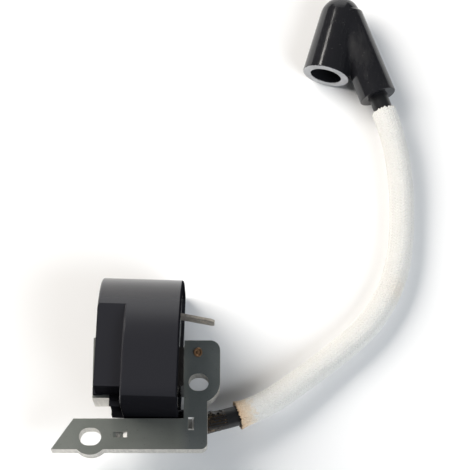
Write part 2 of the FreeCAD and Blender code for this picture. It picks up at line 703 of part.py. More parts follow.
# ---------------------------------------------------------------- boot
def boot_axes():
    """Mouth centre and direction of the plug socket, which meets the lead socket's axis."""
    up = boot_up()
    elbow = Vec(*LEAD_ROUTE[-1]) + up * CELLS["boot_lead_long"]
    turn = FreeCAD.Rotation(Vec(*UP), -CELLS["boot_angle"])
    plug = turn.multVec(up)
    return elbow - plug * CELLS["boot_plug_long"], plug


def boot_shell():
    mouth, plug = boot_axes()
    straight = value("boot_plug_long - dome_in")
    barrel = Part.makeCone(CELLS["boot_mouth_r"], CELLS["boot_dome_r"], straight, mouth, plug)
    dome = Part.makeSphere(CELLS["boot_dome_r"], mouth + plug * straight)
    socket = Part.makeCylinder(CELLS["boot_lead_r"], value("boot_lead_long - dome_in"),
                               Vec(*LEAD_ROUTE[-1]), boot_up())
    return barrel.fuse(dome).fuse(socket)


def boot_ways():
    """Everything that is hollow in the boot."""
    mouth, plug = boot_axes()
    bore = Part.makeCylinder(CELLS["boot_bore"], CELLS["boot_bore_deep"] + 1, mouth - plug, plug)
    chamber = Part.makeCylinder(CELLS["spring_way_r"], CELLS["spring_way_deep"], mouth, plug)
    start = Vec(*LEAD_ROUTE[-1])
    lead = Part.makeCylinder(value("lead_r + lead_fit"), value("lead_end_long + lead_end_gap + 1"),
                             start - boot_up(), boot_up())
    pin = Part.makeCylinder(CELLS["conductor_r"], CELLS["pin_to"], start, boot_up())
    return bore.fuse(chamber).fuse(lead).fuse(pin)


def make_boot():
    solid = boot_shell().cut(boot_ways()).removeSplitter()
    return keep(feature_from("boot_solid", solid), "plug_boot")


def make_boot_spring():
    """Coil spring that grips the plug's terminal, and the pin that pierces the lead."""
    mouth, plug = boot_axes()
    helix = Part.makeHelix(CELLS["spring_pitch"], CELLS["spring_long"], CELLS["spring_r"])
    edge = helix.Edges[0]
    direction = edge.tangentAt(edge.FirstParameter)
    section = Part.Wire(Part.makeCircle(CELLS["spring_wire"], helix.Vertexes[0].Point, direction))
    coil = Part.Wire(helix.Edges).makePipeShell([section], True, True)
    turn = FreeCAD.Rotation(Vec(*UP), plug)
    place = FreeCAD.Placement(mouth + plug * CELLS["spring_from"], turn)
    coil = coil.transformed(place.toMatrix(), copy=True)
    keep(feature_from("spring_coil", coil), "boot_spring")
    start = Vec(*LEAD_ROUTE[-1]) + boot_up() * value("pin_from + pin_gap")
    pin = Part.makeCylinder(CELLS["conductor_r"], value("pin_to - pin_from - pin_gap"), start,
                            boot_up())
    keep(feature_from("pin_solid", pin), "contact_pin")


# ---------------------------------------------------------------- build and write
def check_and_write():
    doc.recompute()
    for obj in doc.Objects:
        state = " ".join(obj.State)
        if "Invalid" in state or "Error" in state:
            raise RuntimeError("%s is %s" % (obj.Name, state))
    for obj in PARTS:
        if obj.Shape.isNull() or not obj.Shape.isValid() or not obj.Shape.Solids:
            raise RuntimeError(obj.Label + " has no valid solid")
    os.makedirs("parts", exist_ok=True)
    for obj in PARTS:
        obj.Shape.exportStep("parts/%s.step" % obj.Label)
        print("%-20s solids %d  volume %.1f" % (obj.Label, len(obj.Shape.Solids), obj.Shape.Volume))


make_core_frame()
make_pole_core()
make_ground_parts()
make_case()
keep(doc.getObject("ht_pin"), "ht_terminal")
make_charge_coil()
make_primary()
make_secondary()
make_board()
make_components()
make_kill_terminal()
make_potting()
make_boot()
make_boot_spring()
make_sleeve(make_lead())
check_and_write()
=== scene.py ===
"""Looks for the magneto ignition coil: laminated frame, moulded case, sleeved lead and elbow boot.

Everything is in metres in the CAD frame. MM turns the sizes that the sheet gives in millimetres
into metres, and FRAME_SHIFT moves the module's local frame, zero at the leg's tip, into place.
"""

import math

import bpy
import numpy as np
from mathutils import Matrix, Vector


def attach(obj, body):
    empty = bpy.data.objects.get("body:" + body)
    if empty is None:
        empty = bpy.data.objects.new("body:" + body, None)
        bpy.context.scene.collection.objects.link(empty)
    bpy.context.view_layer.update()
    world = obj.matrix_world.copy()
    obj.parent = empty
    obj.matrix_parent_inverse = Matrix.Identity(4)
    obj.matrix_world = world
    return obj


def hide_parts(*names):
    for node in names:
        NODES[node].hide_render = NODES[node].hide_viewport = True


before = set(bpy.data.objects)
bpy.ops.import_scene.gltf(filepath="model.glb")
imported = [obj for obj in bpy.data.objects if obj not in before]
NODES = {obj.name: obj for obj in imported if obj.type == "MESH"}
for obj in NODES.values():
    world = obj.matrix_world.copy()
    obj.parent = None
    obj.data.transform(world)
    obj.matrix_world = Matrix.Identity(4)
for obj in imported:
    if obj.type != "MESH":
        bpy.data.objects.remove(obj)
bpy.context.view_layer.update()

MM = 0.001
FRAME_SHIFT = Vector((-28.55, -29.894, 20.0)) * MM


def local(x, y, z=0.0):
    """A point of the module's local frame, in millimetres, as metres in the CAD frame."""
    return Vector((x, y, z)) * MM + FRAME_SHIFT


# ---------------------------------------------------------------- camera
CAMERA_AT = local(62.2, -118.7, 613.0)
CAMERA_TILT = math.radians(17.7)
CAMERA_LENS = 140.1


def make_camera():
    data = bpy.data.cameras.new("camera")
    data.lens = CAMERA_LENS
    data.sensor_width = 36.0
    data.clip_start = 0.01
    data.clip_end = 20.0
    camera = bpy.data.objects.new("camera", data)
    camera.location = CAMERA_AT
    camera.rotation_euler = (CAMERA_TILT, 0.0, 0.0)
    bpy.context.scene.collection.objects.link(camera)
    bpy.context.scene.camera = camera


# ---------------------------------------------------------------- mesh helpers
def new_object(name, mesh):
    obj = bpy.data.objects.new(name, mesh)
    bpy.context.scene.collection.objects.link(obj)
    return obj


def mesh_from(name, vertices, faces, smooth=True):
    mesh = bpy.data.meshes.new(name)
    mesh.from_pydata([tuple(v) for v in vertices], [], faces)
    mesh.validate()
    if smooth:
        mesh.polygons.foreach_set("use_smooth", [True] * len(mesh.polygons))
    mesh.update()
    return mesh


def grid_faces(rings, around, closed=False):
    """Quads between rings of points, each ring closed on itself."""
    faces = []
    last = rings if closed else rings - 1
    for i in range(last):
        low = i * around
        high = ((i + 1) % rings) * around
        for j in range(around):
            k = (j + 1) % around
            faces.append((low + j, low + k, high + k, high + j))
    return faces


# ---------------------------------------------------------------- node materials
def new_material(name):
    material = bpy.data.materials.new(name)
    material.use_nodes = True
    tree = material.node_tree
    return material, tree, tree.nodes["Principled BSDF"]


def noise(tree, scale, detail=4.0, rough=0.55, stretch=(1, 1, 1)):
    """Noise in object coordinates; scale is in cells per metre."""
    coords = tree.nodes.new("ShaderNodeTexCoord")
    mapping = tree.nodes.new("ShaderNodeMapping")
    mapping.inputs["Scale"].default_value = stretch
    tree.links.new(coords.outputs["Object"], mapping.inputs["Vector"])
    texture = tree.nodes.new("ShaderNodeTexNoise")
    texture.inputs["Scale"].default_value = scale
    texture.inputs["Detail"].default_value = detail
    texture.inputs["Roughness"].default_value = rough
    tree.links.new(mapping.outputs["Vector"], texture.inputs["Vector"])
    return texture.outputs["Fac"]


def ramp(tree, source, stops):
    """Colour ramp; each stop is a position and a colour or a grey value."""
    node = tree.nodes.new("ShaderNodeValToRGB")
    elements = node.color_ramp.elements
    while len(elements) < len(stops):
        elements.new(0.5)
    for element, (position, colour) in zip(elements, stops):
        element.position = position
        if isinstance(colour, (int, float)):
            colour = (colour, colour, colour)
        element.color = (*colour, 1.0)
    tree.links.new(source, node.inputs["Fac"])
    return node.outputs["Color"]


def mixed(tree, factor, first, second, blend="MIX"):
    """Mix of two colours, each a socket or a constant."""
    node = tree.nodes.new("ShaderNodeMix")
    node.data_type = "RGBA"
    node.blend_type = blend
    sockets = {s.identifier: s for s in node.inputs}
    pairs = (("Factor_Float", factor), ("A_Color", first), ("B_Color", second))
    for key, item in pairs:
        socket = sockets[key]
        if isinstance(item, bpy.types.NodeSocket):
            tree.links.new(item, socket)
        elif key == "Factor_Float":
            socket.default_value = item
        else:
            socket.default_value = (*item, 1.0)
    return [o for o in node.outputs if o.identifier == "Result_Color"][0]


def bump(tree, shader, height, strength, distance, after=None):
    node = tree.nodes.new("ShaderNodeBump")
    node.inputs["Strength"].default_value = strength
    node.inputs["Distance"].default_value = distance
    tree.links.new(height, node.inputs["Height"])
    if after is not None:
        tree.links.new(after, node.inputs["Normal"])
    tree.links.new(node.outputs["Normal"], shader.inputs["Normal"])
    return node.outputs["Normal"]


def gloss_black(name, base, rough_low, rough_high, dust, grain, waviness, specular=0.5):
    """Black plastic, resin or rubber with haze, dust and a ripple; specular 0 mirrors nothing."""
    material, tree, shader = new_material(name)
    haze = noise(tree, 160.0, 6.0, 0.65)
    roughness = ramp(tree, haze, [(0.35, rough_low), (0.75, rough_high)])
    tree.links.new(roughness, shader.inputs["Roughness"])
    specks = ramp(tree, noise(tree, 1700.0, 2.0, 0.5), [(0.71, 0.0), (0.78, dust)])
    smears = ramp(tree, noise(tree, 90.0, 8.0, 0.7, (1.0, 0.35, 1.0)),
                  [(0.55, 0.0), (0.85, dust * 0.3)])
    marks = mixed(tree, 1.0, specks, smears, "ADD")
    colour = mixed(tree, marks, base, (0.34, 0.33, 0.31))
    tree.links.new(colour, shader.inputs["Base Color"])
    ripple = bump(tree, shader, noise(tree, 120.0, 3.0), waviness, 0.0006)
    bump(tree, shader, noise(tree, 2600.0, 3.0), grain, 0.00005, ripple)
    shader.inputs["Specular IOR Level"].default_value = specular
    return material


# painted light and shade along X: lighter at the leg's tip, darker at the column beside the case,
# where the case shades it
PAINTED_LIGHT_FROM = -28.55 * MM
PAINTED_LIGHT_TO = 25.0 * MM


def length_along(tree, start, end):
    """How far a point lies from one X to another, as 0 to 1."""
    coords = tree.nodes.new("ShaderNodeTexCoord")
    parts = tree.nodes.new("ShaderNodeSeparateXYZ")
    tree.links.new(coords.outputs["Object"], parts.inputs["Vector"])
    span = tree.nodes.new("ShaderNodeMapRange")
    span.inputs["From Min"].default_value = start
    span.inputs["From Max"].default_value = end
    tree.links.new(parts.outputs["X"], span.inputs["Value"])
    return span.outputs["Result"]


def lamination_material():
    """Rolled sheet, grey-green, with faint roll lines and dark flecks; painted shade darkens it at
    the column beside the case and painted light brightens the leg's tip.
    """
    material, tree, shader = new_material("lamination_face")
    lines = noise(tree, 60.0, 8.0, 0.7, (1.0, 24.0, 1.0))
    blotch = noise(tree, 110.0, 6.0, 0.6)
    tone = ramp(tree, blotch, [(0.3, (0.345, 0.365, 0.33)), (0.7, (0.41, 0.425, 0.39))])
    flecks = ramp(tree, noise(tree, 1400.0, 3.0, 0.6), [(0.26, 0.72), (0.36, 1.0)])
    tone = mixed(tree, 1.0, tone, flecks, "MULTIPLY")
    # painted shade at the column beside the case, painted light at the leg's tip
    painted_light = ramp(tree, length_along(tree, PAINTED_LIGHT_FROM, PAINTED_LIGHT_TO), [
        (0.0, 1.15), (0.35, 0.92), (0.80, 0.84), (0.88, (0.60, 0.63, 0.68)),
        (1.0, (0.58, 0.61, 0.66))])
    tree.links.new(mixed(tree, 1.0, tone, painted_light, "MULTIPLY"), shader.inputs["Base Color"])
    shader.inputs["Metallic"].default_value = 0.72
    tree.links.new(ramp(tree, lines, [(0.3, 0.34), (0.7, 0.50)]), shader.inputs["Roughness"])
    soft = bump(tree, shader, lines, 0.12, 0.0002)
    bump(tree, shader, noise(tree, 2400.0, 4.0), 0.18, 0.00006, soft)
    return material


def sheared_material():
    """Bright sheared edge of the sheets, with fine upright burnish lines."""
    material, tree, shader = new_material("sheared_edge")
    lines = noise(tree, 900.0, 4.0, 0.6, (1.0, 1.0, 0.12))
    tree.links.new(ramp(tree, lines, [(0.3, (0.52, 0.50, 0.46)), (0.7, (0.78, 0.76, 0.71))]),
                   shader.inputs["Base Color"])
    shader.inputs["Metallic"].default_value = 0.8
    tree.links.new(ramp(tree, lines, [(0.3, 0.3), (0.7, 0.48)]), shader.inputs["Roughness"])
    bump(tree, shader, lines, 0.3, 0.00008)
    return material


def metal_material(name, dark, light, roughness, scale=500.0, metallic=1.0):
    """Plain metal with tarnish blotches and handling marks."""
    material, tree, shader = new_material(name)
    blotch = noise(tree, scale, 6.0, 0.65)
    tree.links.new(ramp(tree, blotch, [(0.3, dark), (0.7, light)]), shader.inputs["Base Color"])
    shader.inputs["Metallic"].default_value = metallic
    wear = ramp(tree, noise(tree, scale * 0.6, 5.0), [(0.3, roughness), (0.7, roughness + 0.15)])
    tree.links.new(wear, shader.inputs["Roughness"])
    bump(tree, shader, noise(tree, scale * 3.0, 4.0), 0.15, 0.00008)
    return material


def winding_material():
    """Enamelled copper wire: fine turns side by side."""
    material, tree, shader = new_material("enamelled_wire")
    turns = noise(tree, 900.0, 2.0, 0.5, (6.0, 0.2, 0.2))
    tree.links.new(ramp(tree, turns, [(0.3, (0.30, 0.09, 0.03)), (0.7, (0.62, 0.24, 0.08))]),
                   shader.inputs["Base Color"])
    shader.inputs["Metallic"].default_value = 0.85
    shader.inputs["Roughness"].default_value = 0.34
    bump(tree, shader, turns, 0.5, 0.0001)
    return material


def plain_plastic(name, dark, light, roughness):
    """Moulded or cast part that is seen little: soft mottling and a fine grain."""
    material, tree, shader = new_material(name)
    tree.links.new(ramp(tree, noise(tree, 260.0, 5.0), [(0.3, dark), (0.7, light)]),
                   shader.inputs["Base Color"])
    grain = noise(tree, 1800.0, 3.0)
    tree.links.new(ramp(tree, grain, [(0.3, roughness), (0.7, roughness + 0.15)]),
                   shader.inputs["Roughness"])
    bump(tree, shader, grain, 0.25, 0.00006)
    return material


def braid_material():
    """White glass-fibre yarn; the mesh colour 'scorch' browns it near the lower end."""
    material, tree, shader = new_material("glass_braid")
    scorch = tree.nodes.new("ShaderNodeAttribute")
    scorch.attribute_name = "scorch"
    yarn = noise(tree, 3200.0, 4.0, 0.6)
    white = ramp(tree, yarn, [(0.25, (0.68, 0.665, 0.625)), (0.7, (0.82, 0.81, 0.785))])
    patch = ramp(tree, noise(tree, 420.0, 5.0, 0.65), [(0.3, 0.88), (0.7, 1.0)])
    amount = mixed(tree, 1.0, scorch.outputs["Color"], patch, "MULTIPLY")
    tint = ramp(tree, amount, [(0.0, 1.0), (0.45, (0.97, 0.82, 0.66)), (0.86, (0.93, 0.68, 0.46)),
                               (0.97, (0.42, 0.22, 0.11))])
    tree.links.new(mixed(tree, 1.0, white, tint, "MULTIPLY"), shader.inputs["Base Color"])
    shader.inputs["Roughness"].default_value = 0.78
    shader.inputs["Sheen Weight"].default_value = 0.25
    shader.inputs["Sheen Roughness"].default_value = 0.5
    shader.inputs["Subsurface Weight"].default_value = 0.08
    shader.inputs["Subsurface Radius"].default_value = (0.0008, 0.0007, 0.0006)
    bump(tree, shader, yarn, 0.35, 0.00008)
    return material


def paint(node, material):
    """Give a CAD node its finished material; its shape stays as the CAD has it."""
    data = NODES[node].data
    data.materials.clear()
    data.materials.append(material)


# ---------------------------------------------------------------- lead
LEAD_ROUTE = [
    (0.02145, -0.018494, 0.0108), (0.03815, -0.016494, 0.0108), (0.06445, 0.003406, 0.0057),
    (0.08245, 0.018606, 0.00495), (0.09175, 0.036606, 0.00495), (0.09425, 0.056106, 0.00495),
    (0.09375, 0.076106, 0.0064), (0.09035, 0.092406, 0.00865), (0.08615, 0.103906, 0.00865),
]
LEAD_RADIUS = 3.5 * MM


def route_curve(name, bevel):
    data = bpy.data.curves.new(name, "CURVE")
    data.dimensions = "3D"
    data.resolution_u = 32
    data.bevel_depth = bevel
    data.bevel_resolution = 9
    spline = data.splines.new("NURBS")
    spline.points.add(len(LEAD_ROUTE) - 1)
    for point, place in zip(spline.points, LEAD_ROUTE):
        point.co = (*place, 1.0)
    spline.order_u = 3
    spline.use_endpoint_u = True
    return data


def make_lead():
    lead = new_object("lead_jacket", route_curve("lead_jacket", LEAD_RADIUS))
    lead.data.materials.append(gloss_black("lead_rubber", (0.014, 0.014, 0.015), rough_low=0.32,
                                           rough_high=0.5, dust=0.25, grain=0.35, waviness=0.15))
    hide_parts("ht_lead")
    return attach(lead, "module")


class Line:
    """The lead's centre line with a frame that does not twist, read from its spline."""

    def __init__(self):
        probe = new_object("line_probe", route_curve("line_probe", 0.0))
        mesh = bpy.data.meshes.new_from_object(probe)
        points = np.array([v.co for v in mesh.vertices])
        bpy.data.objects.remove(probe)
        steps = np.linalg.norm(np.diff(points, axis=0), axis=1)
        keep = np.r_[True, steps > 1e-7]
        self.points = points[keep]
        self.along = np.r_[0.0, np.cumsum(np.linalg.norm(np.diff(self.points, axis=0), axis=1))]
        self.length = self.along[-1]
        tangents = np.gradient(self.points, self.along, axis=0)
        self.tangents = tangents / np.linalg.norm(tangents, axis=1)[:, None]
        sides = [np.cross(self.tangents[0], (0.0, 0.0, 1.0))]
        for tangent in self.tangents[1:]:
            side = sides[-1] - tangent * (sides[-1] @ tangent)
            sides.append(side / np.linalg.norm(side))
        sides[0] = sides[0] / np.linalg.norm(sides[0])
        self.sides = np.array(sides)

    def frame(self, s):
        """Points, tangents and two cross directions at the lengths s, which may run past an end."""
        inner = np.clip(s, 0.0, self.length)
        pick = [np.stack([np.interp(inner, self.along, a[:, i]) for i in range(3)], -1)
                for a in (self.points, self.tangents, self.sides)]
        place, tangent, side = pick
        tangent /= np.linalg.norm(tangent, axis=-1, keepdims=True)
        side -= tangent * np.sum(side * tangent, -1, keepdims=True)
        side /= np.linalg.norm(side, axis=-1, keepdims=True)
        place = place + tangent * (s - inner)[..., None]
        return place, tangent, side, np.cross(tangent, side)

    def around(self, s, angle, radius):
        """Points at the angle and radius about the line at the lengths s."""
        place, _, side, up = self.frame(s)
        return place + radius[..., None] * (np.cos(angle)[..., None] * side
                                            + np.sin(angle)[..., None] * up)


# ---------------------------------------------------------------- braided sleeve
SLEEVE_FROM = 13.6 * MM
SLEEVE_TO_END = 5.8 * MM
SLEEVE_RADIUS = 4.27 * MM
# yarns in each hand of the braid
YARNS = 24
YARN_PITCH = 27.0 * MM
YARN_WIDE = 0.98 * MM
YARN_THICK = 0.30 * MM
YARN_LIFT = 0.13 * MM
YARN_STEP = 0.42 * MM
FLARE_LONG = 5.0 * MM
FLARE = 0.60 * MM
# a thin band at the cut end is coloured darker brown than the rest of the scorch
END_BAND_LONG = 0.18 * MM
END_BAND_DARK = 0.92
BURN_MOST = 0.86
BURN_LONG = (5.2, 7.2)
# section of a yarn: across and up, in shares of its width and thickness
YARN_SECTION = [(-0.5, 0.0), (-0.25, 0.42), (0.0, 0.5), (0.25, 0.42), (0.5, 0.0), (0.0, -0.5)]
STAIN = 0.16
STAIN_AT = (0.0925, 0.030, 0.009)
STAIN_WIDE = 4.5 * MM
LINER_OUTER = SLEEVE_RADIUS - 0.12 * MM
LINER_INNER = 3.72 * MM


def sleeve_radius(s, start):
    """The braid opens out towards its cut lower end and breathes a little along the lead."""
    flare = FLARE * np.clip(1.0 - (s - start) / FLARE_LONG, 0.0, 1.3) ** 2
    return SLEEVE_RADIUS + flare + 0.05 * MM * np.sin(s / (7.1 * MM)) * np.sin(s / (2.9 * MM))


def make_sleeve(line):
    rng = np.random.default_rng(7)
    start, end = SLEEVE_FROM, line.length - SLEEVE_TO_END
    turn = 2 * math.pi / YARN_PITCH
    vertices, faces, scorch = [], [], []
    for hand in (1, -1):
        for k in range(YARNS):
            first = start - rng.uniform(-0.12, 0.16) * MM
            last = end + rng.uniform(-0.12, 0.12) * MM
            s = np.arange(first, last, YARN_STEP)
            cross = hand * 2 * turn * s * YARNS / (2 * math.pi) + 2 * k
            lift = hand * YARN_LIFT * np.cos(2 * math.pi * cross / 4 - math.pi / 4)
            fray = np.clip((start + 1.6 * MM - s) / (2.2 * MM), 0.0, 1.0) ** 2
            radius = sleeve_radius(s, start) + lift + fray * rng.uniform(0.0, 0.22) * MM
            angle = hand * turn * s + 2 * math.pi * k / YARNS + fray * rng.uniform(-0.05, 0.05)
            tilt = math.atan(turn * SLEEVE_RADIUS)
            wide = YARN_WIDE * (1 + 0.08 * np.sin(s / (1.7 * MM) + k)) * (1 - 0.15 * fray)
            base = len(vertices)
            edges = []
            for across, up in YARN_SECTION:
                da = hand * across * wide * math.cos(tilt) / SLEEVE_RADIUS
                ds = -across * wide * math.sin(tilt)
                edges.append(line.around(s + ds, angle + da, radius + up * YARN_THICK))
            vertices.extend(np.stack(edges, 1).reshape(-1, 3))
            corners = len(YARN_SECTION)
            ring_faces = np.array(grid_faces(len(s), corners)) + base
            if hand < 0:
                ring_faces = ring_faces[:, ::-1]
            faces.extend(map(tuple, ring_faces))
            cap = [base + j for j in range(corners)]
            far = [base + (len(s) - 1) * corners + j for j in range(corners)]
            faces.append(tuple(cap if hand < 0 else cap[::-1]))
            faces.append(tuple(far[::-1] if hand < 0 else far))
            fade = np.clip(1.0 - (s - start) / (rng.uniform(*BURN_LONG) * MM), 0.0, 1.0)
            burn = np.where(s < start + END_BAND_LONG, END_BAND_DARK, BURN_MOST * fade ** 0.9)
            scorch.extend(np.repeat(burn, corners))
    mesh = mesh_from("sleeve_braid", vertices, faces)
    paint_scorch(mesh, np.array(scorch))
    mesh.materials.append(braid_material())
    braid = new_object("sleeve_braid", mesh)
    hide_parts("heat_sleeve")
    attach(braid, "module")
    return [braid, make_liner(line, start, end)]


def paint_scorch(mesh, amount):
    """Store how far each point is scorched, plus one faint stain part-way up the sleeve."""
    places = np.array([v.co for v in mesh.vertices])
    stain = np.exp(-np.sum((places - np.array(STAIN_AT)) ** 2, 1) / STAIN_WIDE ** 2)
    amount = np.clip(amount + STAIN * stain, 0.0, 1.35)
    layer = mesh.color_attributes.new("scorch", "FLOAT_COLOR", "POINT")
    layer.data.foreach_set("color", np.repeat(amount, 4).astype(np.float32))


def make_liner(line, start, end):
    """Inner layer of the sleeve that shows between the yarns and closes its ends."""
    around = 64
    s = np.r_[start + 0.5 * MM, np.linspace(start + 0.55 * MM, end - 0.35 * MM, 160),
              end - 0.3 * MM]
    angles = np.linspace(0, 2 * math.pi, around, endpoint=False)
    grid_s, grid_a = np.meshgrid(s, angles, indexing="ij")
    weave = 0.03 * MM * np.sin(grid_a * YARNS) * np.sin(grid_s / (0.6 * MM))
    radius = sleeve_radius(grid_s, start) - SLEEVE_RADIUS + LINER_OUTER + weave
    shells = [line.around(grid_s, grid_a, radius),
              line.around(grid_s[::-1], grid_a, np.full_like(grid_s, LINER_INNER))]
    vertices = np.concatenate([a.reshape(-1, 3) for a in shells])
    mesh = mesh_from("sleeve_liner", vertices, grid_faces(2 * len(s), around, closed=True))
    burn = np.clip(1.0 - (grid_s - start) / (4.0 * MM), 0.0, 1.0)
    paint_scorch(mesh, np.concatenate([burn.ravel(), burn[::-1].ravel()]))
    mesh.materials.append(bpy.data.materials["glass_braid"])
    liner = new_object("sleeve_liner", mesh)
    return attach(liner, "module")


# ---------------------------------------------------------------- resin on the lead
RESIN_LONG = 9.5 * MM
RESIN_THICK = 0.85 * MM
RESIN_BLOBS = 26


def make_resin(line):
    """Casting resin that has crept out of the tower along the lead, uneven and speckled."""
    rng = np.random.default_rng(3)
    around, rings = 72, 70
    s = np.linspace(-0.3 * MM, RESIN_LONG, rings)
    angles = np.linspace(0, 2 * math.pi, around, endpoint=False)
    grid_s, grid_a = np.meshgrid(s, angles, indexing="ij")
    reach = (5.4 + 2.2 * np.sin(grid_a * 2 + 0.6) + 1.1 * np.sin(grid_a * 5 + 2.0)) * MM
    height = RESIN_THICK * np.clip(1 - grid_s / reach, 0, 1) ** 1.5
    for _ in range(RESIN_BLOBS):
        spot_s, spot_a = rng.uniform(1.0, 8.5) * MM, rng.uniform(0, 2 * math.pi)
        wide = rng.uniform(0.25, 0.7) * MM
        turn = (grid_a - spot_a + math.pi) % (2 * math.pi) - math.pi
        far = (grid_s - spot_s) ** 2 + (turn * LEAD_RADIUS) ** 2
        height = height + rng.uniform(0.08, 0.3) * MM * np.exp(-far / wide ** 2)
    radius = LEAD_RADIUS - 0.03 * MM + height
    radius[-1] = LEAD_RADIUS - 0.1 * MM
    vertices = line.around(grid_s, grid_a, radius).reshape(-1, 3)
    faces = grid_faces(rings, around)
    first = list(range(around))
    last = [(rings - 1) * around + j for j in range(around)]
    faces.append(tuple(first[::-1]))
    faces.append(tuple(last))
    mesh = mesh_from("tower_resin", vertices, faces)
    material, tree, shader = new_material("resin_creep")
    patch = noise(tree, 700.0, 6.0, 0.7)
    tree.links.new(ramp(tree, patch, [(0.42, (0.012, 0.011, 0.011)), (0.58, (0.05, 0.032, 0.016)),
                                      (0.7, (0.20, 0.13, 0.06))]), shader.inputs["Base Color"])
    tree.links.new(ramp(tree, patch, [(0.4, 0.12), (0.7, 0.4)]), shader.inputs["Roughness"])
    bump(tree, shader, noise(tree, 1500.0, 4.0), 0.3, 0.0001)
    mesh.materials.append(material)
    resin = new_object("tower_resin", mesh)
    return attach(resin, "module")


# ---------------------------------------------------------------- boot
# in millimetres of the CAD frame; lengths and radii go along and about the two axes, which are
# the lead's from BOOT_START along BOOT_UP and the plug's from PLUG_MOUTH along PLUG_IN
BOOT_START = Vector((86.15, 103.906, 8.65))
BOOT_UP = Vector((-0.34305, 0.93932, 0.0))
PLUG_MOUTH = Vector((67.059, 112.106, 8.65))
PLUG_IN = Vector((0.24424, 0.96971, 0.0))
BOOT_GRID = 0.3
BOOT_LOW = (55.0, 101.5, -1.5)
BOOT_HIGH = (98.0, 148.0, 18.8)
MOUTH_R = 8.6
DOME_R = 7.55
DOME_UP = 23.9
EDGE_ROUND = 0.35
SOCKET_R = 6.8
SOCKET_LONG = 33.5
BORE_R = 5.7
BORE_DEEP = 8.0
CHAMBER_R = 5.2
CHAMBER_DEEP = 21.0
LEAD_WAY_R = 3.55
LEAD_WAY_DEEP = 18.3
CROTCH_BLEND = 1.1
# moulding seams on the barrel: height, place to the side, slope, middle of the slope, width
SEAMS = ((0.11, 4.1, -0.035, 12, 0.22), (0.16, 6.9, -0.06, 10, 0.26))
SEAM_FROM = 0.8
SEAM_TO = 25.5
# outlines run past the axis to here, so that their closing edge shapes nothing
INSIDE = -20.0


def polygon_distance(x, y, corners):
    """Signed distance to a closed outline, negative inside."""
    best = np.full(x.shape, 1e9)
    inside = np.zeros(x.shape, bool)
    for (ax, ay), (bx, by) in zip(corners, corners[1:] + corners[:1]):
        ex, ey = bx - ax, by - ay
        wx, wy = x - ax, y - ay
        t = np.clip((wx * ex + wy * ey) / (ex * ex + ey * ey), 0, 1)
        best = np.minimum(best, (wx - ex * t) ** 2 + (wy - ey * t) ** 2)
        if ay != by:
            crosses = ((ay <= y) & (by > y)) | ((by <= y) & (ay > y))
            inside ^= crosses & (x < ax + (y - ay) / (by - ay) * ex)
    return np.where(inside, -1, 1) * np.sqrt(best)


def about(points, start, direction):
    """Distance from an axis and length along it."""
    rel = points - np.array(start)
    along = rel @ np.array(direction)
    off = np.linalg.norm(rel - along[..., None] * np.array(direction), axis=-1)
    return off, along


def soft_min(a, b, width):
    h = np.clip(0.5 + 0.5 * (b - a) / width, 0, 1)
    return b + (a - b) * h - width * h * (1 - h)


def boot_field(points):
    """Signed distance of the rubber boot, in millimetres."""
    r, t = about(points, PLUG_MOUTH, PLUG_IN)
    dome = [(DOME_R * math.cos(a), DOME_UP + DOME_R * math.sin(a))
            for a in np.linspace(0, math.pi / 2, 12)]
    top = DOME_UP + DOME_R - EDGE_ROUND
    barrel = [(INSIDE, EDGE_ROUND), (MOUTH_R - EDGE_ROUND, EDGE_ROUND)]
    barrel += [(x - EDGE_ROUND, y) for x, y in dome[:-1]] + [(0.0, top), (INSIDE, top)]
    plug = polygon_distance(r, t, barrel) - EDGE_ROUND
    side = (points - np.array(PLUG_MOUTH)) @ np.array((PLUG_IN.y, -PLUG_IN.x, 0.0))
    over = points[..., 2] - PLUG_MOUTH.z
    ends = np.clip(t - SEAM_FROM, 0, 1) * np.clip((SEAM_TO - t) / 3.0, 0, 1)
    ends = ends * (over > 0)
    ridges = sum(tall * np.exp(-((side - place - slope * (t - middle)) / wide) ** 2)
                 for tall, place, slope, middle, wide in SEAMS)
    plug = plug - ridges * ends
    r2, t2 = about(points, BOOT_START, BOOT_UP)
    edge = SOCKET_R - EDGE_ROUND
    far = SOCKET_LONG - EDGE_ROUND
    socket = polygon_distance(r2, t2, [(INSIDE, EDGE_ROUND), (edge, EDGE_ROUND), (edge, far),
                                       (INSIDE, far)]) - EDGE_ROUND
    solid = soft_min(plug, socket, CROTCH_BLEND)
    bore = polygon_distance(r, t, [
        (INSIDE, -3.0), (BORE_R, -3.0), (BORE_R, BORE_DEEP), (CHAMBER_R, BORE_DEEP),
        (CHAMBER_R, CHAMBER_DEEP - 0.5), (CHAMBER_R - 0.5, CHAMBER_DEEP), (INSIDE, CHAMBER_DEEP)])
    lead = polygon_distance(r2, t2, [(INSIDE, -3.0), (LEAD_WAY_R, -3.0),
                                     (LEAD_WAY_R, LEAD_WAY_DEEP), (INSIDE, LEAD_WAY_DEEP)])
    return -soft_min(-solid, soft_min(bore, lead, 0.05), 0.25)


